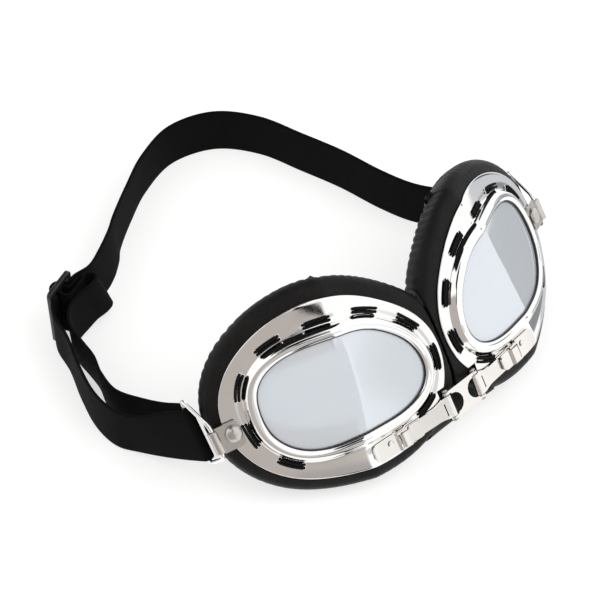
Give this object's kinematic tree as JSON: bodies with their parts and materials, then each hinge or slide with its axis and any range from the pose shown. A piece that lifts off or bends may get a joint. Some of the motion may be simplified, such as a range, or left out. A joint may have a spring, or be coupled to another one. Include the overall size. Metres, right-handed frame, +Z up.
{
  "type": "riding goggles",
  "caption": "Padded riding goggles with two bent metal eye frames, flat angled lenses, a short hinged bridge and a looped elastic head strap with a slider.",
  "frame": {"origin": "on the table, under the middle of the whole part's box", "axes": "+Z up from the table; +X towards the wearer's right eye as the goggles lie brow-down; +Y from the lenses back towards the strap"},
  "size_m": [0.193, 0.1972, 0.0744],
  "materials": {
    "chrome": "polished",
    "nickel": "satin",
    "lens": "clear, lightly mirrored",
    "leather": "satin",
    "foam": "matt foam",
    "lace": "matt",
    "rubber": "matt",
    "webbing": "woven, matt",
    "plastic": "satin"
  },
  "bodies": {
    "bridge": {"bridge_link": "chrome", "left_hinge_pin": "nickel", "right_hinge_pin": "nickel", "nose_piece": "leather", "strap_band": "webbing"},
    "left_eye": {"left_frame": "chrome", "left_lens": "lens", "left_lens_ring": "rubber", "left_cushion_cover": "leather", "left_cushion_foam": "foam", "left_lacing": "lace", "left_hinge_leaf": "chrome", "left_keeper_plate": "chrome", "left_keeper_rivet": "nickel", "left_temple_bracket": "nickel", "left_temple_rivet": "nickel"},
    "right_eye": {"right_frame": "chrome", "right_lens": "lens", "right_lens_ring": "rubber", "right_cushion_cover": "leather", "right_cushion_foam": "foam", "right_lacing": "lace", "right_hinge_leaf": "chrome", "right_keeper_plate": "chrome", "right_keeper_rivet": "nickel", "right_temple_bracket": "nickel", "right_temple_rivet": "nickel"},
    "left_loop": {"left_strap_loop": "chrome"},
    "right_loop": {"right_strap_loop": "chrome"},
    "slider": {"slider": "plastic", "strap_tail": "webbing"}
  },
  "joints": [
    {"name": "left_bridge_hinge", "type": "hinge", "parent": "bridge", "child": "left_eye", "pos_m": [-0.00214, -0.09399, 0.0217], "axis": [0, -0.5548, -0.832], "range_deg": [-8, 6], "deforming": ["nose_piece", "strap_band"]},
    {"name": "right_bridge_hinge", "type": "hinge", "parent": "bridge", "child": "right_eye", "pos_m": [0.01296, -0.09399, 0.0217], "axis": [0, 0.5548, 0.832], "range_deg": [-8, 6], "deforming": ["nose_piece", "strap_band"]},
    {"name": "left_loop_hinge", "type": "hinge", "parent": "left_eye", "child": "left_loop", "pos_m": [-0.08245, -0.0527, 0.03099], "axis": [0.0135, 0.5887, 0.8082], "range_deg": [-8, 60], "deforming": ["strap_band"]},
    {"name": "right_loop_hinge", "type": "hinge", "parent": "right_eye", "child": "right_loop", "pos_m": [0.09327, -0.0527, 0.03099], "axis": [0.0135, -0.5887, -0.8082], "range_deg": [-8, 60], "deforming": ["strap_band"]},
    {"name": "slider_slide", "type": "slide", "parent": "bridge", "child": "slider", "axis": [-0.9304, -0.3665, 0], "range_m": [-0.012, 0.003], "deforming": ["strap_band", "strap_tail"]}
  ]
}
